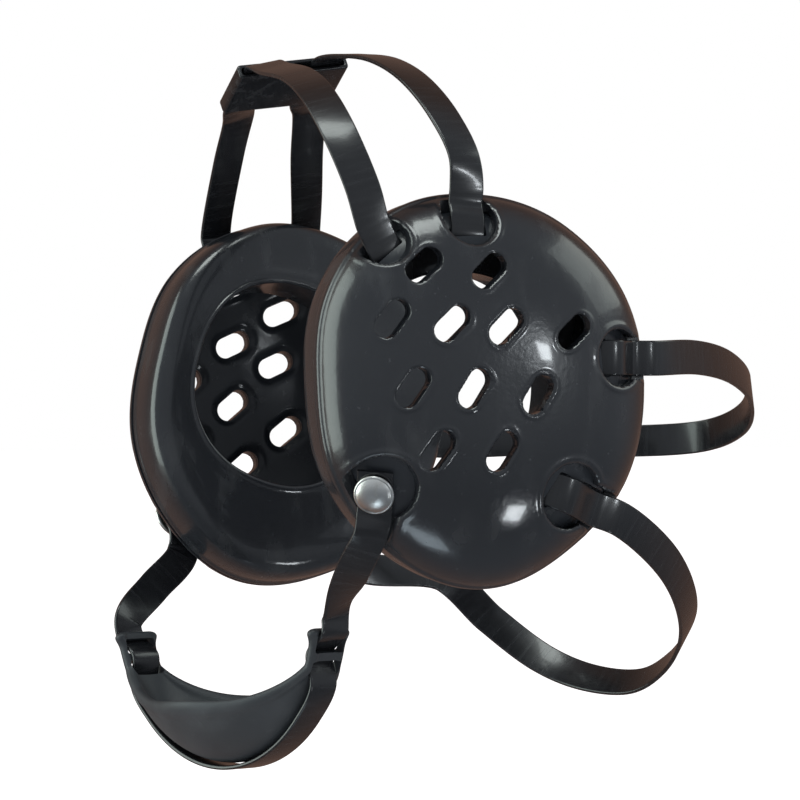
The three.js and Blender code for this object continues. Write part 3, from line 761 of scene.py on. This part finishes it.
def shell_rows():
    """The shell's outer dome, then its inner one, dished round each slot by a bell curve."""
    angles = full_turn(360)
    outer = dome_rows(SHELL_OUT, angles, np.linspace(DOME_TOP, np.pi / 2, 40))
    inner = dome_rows(SHELL_IN, angles, np.linspace(np.pi / 2, DOME_TOP, 100))
    away = np.maximum(slot_distance(inner[..., 0], inner[..., 1]), 0) / SHELL_DISH["wide"]
    inner[..., 2] += SHELL_DISH["deep"] * np.exp(-(away**2))
    return np.concatenate([outer, inner])


def shell_paint(start):
    """Hard black plastic: moulding ripples, small rubbed patches and an even gloss."""
    place = start.make("ShaderNodeTexCoord", out=3)
    rub = place.noise(6, 4).between(0.55, 0.75)
    return {
        "Base Color": (rub * 0.6).mix(SHELL_BLACK, SHELL_RUB),
        "Roughness": 0.2 + 0.12 * rub + 0.06 * place.noise(20),
        "Normal": place.noise(5, 1).bump(0.05),
    }


shell_plastic = material("shell", {"IOR": 1.4}, shell_paint)

room = rounded_box(STRAP_WIDTH + 2 * STRAP_PLAY, STRAP_THICKNESS + 2 * GAP, 0.4, 3)
for side, cup in CUP_PLACES.items():
    shell = skinned(f"{side}_shell_moulding", to_head(shell_rows(), cup))
    rooms = [closed_mesh("room", strap_rows(stops, 120, room)) for stops in STRAP_STOPS.values()]
    cut(shell, [slot_prisms(cup), *rooms])
    smoothed(shell, 40)
    shell.data.materials.append(shell_plastic)
    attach(shell, "root")
    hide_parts(f"{side}_shell")

# Crown spacer
# A flat moulded sleeve with two tunnels, which slides on the crown straps and keeps them apart. It has slid
# down to the right side of the head, so it tilts with the crown.


def sleeve_rows(width, height, radius, flare, length):
    """A rounded box's outline carried along the sleeve. At both ends it shrinks, or opens if flare is below
    0, along a quarter round."""
    quarter = np.linspace(0, np.pi / 2, 6)
    step, shrunk = abs(flare) * (1 - np.cos(quarter)), abs(flare) * (1 - np.sin(quarter))
    places = np.concatenate([-length / 2 + step, length / 2 - step[::-1]])
    inset = np.concatenate([shrunk, shrunk[::-1]]) * np.sign(flare)
    rows = []
    for place, shrink in zip(places, inset):
        outline = rounded_box(width - 2 * shrink, height - 2 * shrink, radius - min(shrink, radius / 2), 6)
        rows.append(np.column_stack([np.full(len(outline), place), outline]))
    return np.array(rows)


tunnel_width = (SPACER["width"] - 3 * SPACER["wall"]) / 2
tunnel_height = STRAP_THICKNESS + 2 * STRAP_PLAY
sleeve_height = tunnel_height + 2 * SPACER["wall"]
body = sleeve_rows(SPACER["width"], sleeve_height, radius=1.2, flare=0.5, length=SPACER["length"])
spacer = skinned("crown_spacer_sleeve", body @ spacer_turn().T + SPACER["at"])
tunnels = []
for aside in (-1, 1):
    tunnel = sleeve_rows(tunnel_width, tunnel_height, radius=0.6, flare=-0.4, length=SPACER["length"] + 0.1)
    tunnel = tunnel + [0, aside * (tunnel_width + SPACER["wall"]) / 2, 0]
    tunnels.append(closed_mesh("tunnel", tunnel @ spacer_turn().T + SPACER["at"]))
cut(spacer, tunnels)
smoothed(spacer, 35)


def sleeve_paint(start):
    """Black plastic like the straps', with an even moulded grain."""
    place = start.make("ShaderNodeTexCoord", out=3)
    rub = place.noise(4, 4).between(0.5, 0.75)
    return {
        "Base Color": (rub * 0.25).mix(STRAP_BLACK, STRAP_SCUFF),
        "Roughness": 0.22 + 0.15 * rub,
        "Normal": place.noise(1.2, 2).bump(0.008),
    }


spacer.data.materials.append(material("spacer", {"IOR": 1.52}, sleeve_paint))
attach(spacer, "root")
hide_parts("crown_spacer")

# Chin cup
# A soft bowl of matt dark rubber, moulded with a rolled bead round its rim. At each end it has a tab with
# two slots, through which the chin strap is woven, and the strap runs on under the bowl.
RUBBER_SLATE = (0.022, 0.026, 0.031)
RUBBER_BLOOM = (0.05, 0.056, 0.063)
LOBE = 1.3
CORNER = 2.2
END_ROUND = 1.2
EDGE_SPARE = 0.5
THINNEST = 0.02
FLARE_START = 0.8
SLOT_CUT = 6


def chin_rows():
    """Loops round the bowl's section, from tab to tab. The thickness is that of the wall, or of the round
    bead near the edges, and closes to nothing at both edges."""
    share = (0.5 - np.cos(np.linspace(0, np.pi, 220)) / 2)[:, None]
    tab = TAB_LENGTH / CHIN_LENGTH
    flare = FLARE_START * tab
    past = np.clip((np.minimum(share, 1 - share) - flare) / (1 - 2 * flare), 0, 1)
    fill = np.sin(np.pi * past)
    bead = CHIN["rim"] / 2
    from_end = np.minimum(share, 1 - share) * CHIN_LENGTH
    lobe = LOBE * np.exp(-(((from_end - CHIN["bar"] / 2) / CHIN["bar"]) ** 2))
    corner = CORNER - np.sqrt(CORNER**2 - np.clip(CORNER - from_end, 0, CORNER) ** 2)
    half_width = (TAB_WIDTH + (CHIN["width"] - TAB_WIDTH) * fill) / 2 - bead + EDGE_SPARE + lobe - corner
    dish = CHIN["dish"] * fill
    span = -np.cos(np.linspace(0, np.pi, 48))[None, :]
    from_bead = np.abs(span) * half_width - (half_width - bead)
    round_bead = np.sqrt(np.clip(bead**2 - from_bead**2, 0, None))
    wall = np.where(from_bead < 0, CHIN["wall"] / 2, 0)
    end_round = np.sqrt(1 - np.clip(1 - from_end / END_ROUND, 0, 1) ** 2)
    thick = np.maximum(wall, round_bead) * np.maximum(end_round, THINNEST)
    slope = np.hypot(half_width, 2 * dish * span)

    def side(sign):
        inward = dish * span**2 + sign * thick * half_width / slope
        across = half_width * span - sign * thick * 2 * dish * span / slope
        return chin_place(np.broadcast_to(share, inward.shape), inward, across)

    return np.concatenate([side(-1)[:, :-1], side(1)[:, :0:-1]], axis=1)


def tab_slots():
    """The four slots in the tabs, as boxes across the wall."""
    outline = rounded_box(CHIN["slot"], STRAP_WIDTH + 2 * STRAP_PLAY, 0.8, 5)
    boxes = []
    for end in (0, 1):
        for place in (0, 1):
            from_end = CHIN["bar"] + CHIN["slot"] / 2 + place * (CHIN["bar"] + CHIN["slot"])
            middle, way = chin_arc(np.array(abs(end - from_end / CHIN_LENGTH)))
            own = np.array([
                np.stack([
                    middle[0] + way[0] * outline[:, 0] - way[1] * inward,
                    outline[:, 1],
                    middle[1] + way[1] * outline[:, 0] + way[0] * inward,
                ], axis=-1)
                for inward in (-SLOT_CUT, SLOT_CUT)
            ])
            boxes.append(closed_mesh("slot", own @ chin_turn().T + CHIN["at"]))
    return joined("slots", boxes)


def rubber_paint(start):
    """Matt rubber: a fine even grain, a pale bloom in soft clouds and small dull rubs."""
    place = start.make("ShaderNodeTexCoord", out=3)
    bloom = place.noise(18, 4).between(0.4, 0.8)
    rub = place.noise(3, 4).between(0.6, 0.8)
    return {
        "Base Color": (bloom * 0.6 + rub * 0.3).mix(RUBBER_SLATE, RUBBER_BLOOM),
        "Roughness": 0.5 + 0.12 * bloom,
        "Normal": place.noise(0.8, 3).bump(0.02, place.noise(9, 1).bump(0.1)),
    }


bowl = skinned("chin_cup_bowl", chin_rows())
cut(bowl, [tab_slots()])
smoothed(bowl, 45)
bowl.data.materials.append(material("rubber", {"IOR": 1.5}, rubber_paint))
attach(bowl, "root")
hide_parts("chin_cup")

# Snaps
# Each end of the chin strap is held by a nickel-plated snap: outside a pressed domed cap with a rolled edge,
# a post through strap and shell, and a flange inside. Its plating is brushed and dulled by handling.
SNAP = {"across": 11.6, "rise": 2.6, "post": 3, "reach": 2, "roll": 0.55, "foot": 0.8}
FLANGE = {"share": 0.55, "face": 0.5, "thick": 1, "rim": 0.7}
SHELL_WALL = 1.8
NICKEL = (0.86, 0.86, 0.83)
NICKEL_DULL = (0.68, 0.67, 0.63)


def snap_rows(cup):
    """Circles carried along the snap's profile, from its flange to the top of its cap."""
    base = STRAP_THICKNESS / 2 + 2 * GAP
    cap, post = SNAP["across"] / 2, SNAP["post"] / 2
    below = -SNAP_SEAT - SHELL_WALL - SNAP["reach"]
    flange = FLANGE["share"] * cap
    bottom = below - FLANGE["thick"]
    roll, turns = SNAP["roll"], np.linspace(-np.pi / 2, np.pi * 0.62, 12)
    dome = np.linspace(0.93, 0.02, 20)
    radius = np.concatenate([
        [0.02, FLANGE["face"] * cap, flange, flange, post, post],
        cap - roll + roll * np.cos(turns),
        dome * (cap - 0.35),
    ])
    height = np.concatenate([
        [bottom, bottom, below - FLANGE["rim"], below, below, base],
        base + roll + roll * np.sin(turns),
        base + SNAP["foot"] + (SNAP["rise"] - SNAP["foot"]) * (1 - dome**2.4) ** 0.8,
    ])
    angles = full_turn(72)
    own = np.stack([
        radius[:, None] * np.cos(angles),
        radius[:, None] * np.sin(angles),
        np.broadcast_to(height[:, None], (len(height), len(angles))),
    ], axis=-1)
    at, face, along = chin_seat(cup)
    return to_head(own @ np.array([along, np.cross(face, along), face]) + at, cup)


def nickel_paint(start):
    """Nickel plate: fine brushed lines, dull patches and small dents."""
    place = start.make("ShaderNodeTexCoord", out=3)
    brushed = place.noise(0.7, 3, (1, 0.15, 1))
    dull = place.noise(2.5, 4).between(0.45, 0.75)
    return {
        "Base Color": dull.mix(NICKEL, NICKEL_DULL),
        "Roughness": 0.3 + 0.14 * dull + 0.12 * brushed,
        "Normal": brushed.bump(0.012, place.noise(3, 1).bump(0.05)),
    }


nickel = material("nickel", {"Metallic": 1.0}, nickel_paint)

for side, cup in CUP_PLACES.items():
    snap = skinned(f"{side}_snap_cap", snap_rows(cup))
    smoothed(snap, 40)
    snap.data.materials.append(nickel)
    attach(snap, "root")
    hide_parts(f"{side}_snap")

# Studio
# A plain pale floor and surround, with large and small soft boxes round the guard. What is dark between
# them shows in the gloss: cool grey on the camera's side, darker below, and warm brown beyond.
FLOOR_BELOW = 90
FLOOR_SIDE = 30.0
FLOOR_TONE = (0.8, 0.8, 0.8)
FLOOR_CLOUD = 0.98
FLOOR_SHEEN = {"Roughness": 0.9, "Emission Color": (1, 1, 1, 1), "Emission Strength": 0.97}
SURROUND_SEEN = (1.0, 1.0, 1.0)
SURROUND_COOL = (0.36, 0.385, 0.42)
SURROUND_LOW = (0.13, 0.145, 0.165)
SURROUND_WARM = (0.2, 0.12, 0.09)
SOFT_BOXES = {
    "window": {"azimuth": -14, "height": 12, "size": [620, 1200], "watts": 8, "tone": (0.86, 1, 0.95)},
    "small_high": {"azimuth": 118, "height": 7, "size": [60, 60], "watts": 0.5, "tone": (0.9, 0.96, 1)},
    "small_low": {"azimuth": 119, "height": -31, "size": [150, 120], "watts": 1.5, "tone": (0.9, 0.96, 1)},
    "broad": {"azimuth": 172, "height": 32, "size": [700, 420], "watts": 1.4, "tone": (0.9, 1, 0.95)},
    "top": {"azimuth": 60, "height": 72, "size": [500, 300], "watts": 3.4, "tone": (0.92, 1, 0.97)},
    "low": {"azimuth": 60, "height": -62, "size": [300, 200], "watts": 0.8, "tone": (0.75, 0.9, 1)},
}
BOX_DISTANCE = 1000


def floor_paint(start):
    """Matt pale floor with hardly visible clouds."""
    place = start.make("ShaderNodeTexCoord", out=3)
    cloud = tuple(FLOOR_CLOUD * tone for tone in FLOOR_TONE)
    return {"Base Color": place.noise(600, 2).mix(cloud, FLOOR_TONE)}


floor_mesh = bpy.data.meshes.new("floor")
level = cad_low[2] - MM * FLOOR_BELOW
corners = FLOOR_SIDE / 2 * np.array([[-1, -1, 0], [1, -1, 0], [1, 1, 0], [-1, 1, 0]]) + [0, 0, level]
floor_mesh.from_pydata(corners.tolist(), [], [[0, 1, 2, 3]])
floor_mesh.materials.append(material("floor", FLOOR_SHEEN, floor_paint))
floor = placed("floor", floor_mesh)
floor.visible_glossy = False

for name, box in SOFT_BOXES.items():
    lamp = bpy.data.lights.new(name, "AREA")
    lamp.shape = "RECTANGLE"
    lamp.size, lamp.size_y = (MM * side for side in box["size"])
    lamp.energy = box["watts"]
    lamp.color = box["tone"]
    azimuth, height = np.radians(box["azimuth"]), np.radians(box["height"])
    way = np.array([np.cos(height) * np.sin(azimuth), -np.cos(height) * np.cos(azimuth), np.sin(height)])
    lit = bpy.data.objects.new(name, lamp)
    lit.location = MM * (LOOK_AT + BOX_DISTANCE * way)
    lit.rotation_euler = Vector(-way).to_track_quat("-Z", "Y").to_euler()
    bpy.context.scene.collection.objects.link(lit)

world = bpy.data.worlds.new("surround")
bpy.context.scene.world = world
world.use_nodes = True
air = Shade(world.node_tree)
direction = {"Vector": air.make("ShaderNodeTexCoord")}
eastward, upward = (air.make("ShaderNodeSeparateXYZ", {}, direction, out=axis) for axis in (0, 2))
cool = upward.between(-0.5, 0.15).mix(SURROUND_LOW, SURROUND_COOL)
reflected = eastward.between(-0.5, 0.3).mix(SURROUND_WARM, cool)
sky = air.make("ShaderNodeLightPath").mix(reflected, SURROUND_SEEN)
world.node_tree.links.new(sky.socket, world.node_tree.nodes["Background"].inputs["Color"])
bpy.context.scene.view_settings.view_transform = "Standard"

bpy.context.view_layer.update()
